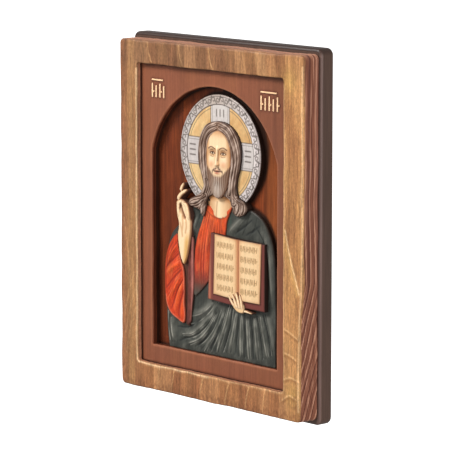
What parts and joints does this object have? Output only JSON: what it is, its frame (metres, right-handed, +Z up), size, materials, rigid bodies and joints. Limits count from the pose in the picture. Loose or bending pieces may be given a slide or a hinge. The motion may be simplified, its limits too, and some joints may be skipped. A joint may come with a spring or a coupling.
{
  "type": "icon panel",
  "caption": "Upright carved wooden icon: hewn border, sunken arched niche with a painted relief figure holding an open book, on a smooth dark backing board.",
  "frame": {"origin": "centre of the flat back face of the backing board, where it lies on the wall", "axes": "+Z up, +Y back into the wall, +X to the viewer's right, so the carved front looks along -Y"},
  "size_m": [0.2108, 0.0308, 0.2838],
  "materials": {
    "dark_board": "smooth dark brown stain with a satin wax",
    "carved_wood": "hewn and carved wood, golden-brown stain, painted figure, satin wax"
  },
  "bodies": {
    "root": {"back_board": "dark_board", "carved_panel": "carved_wood"}
  },
  "joints": []
}
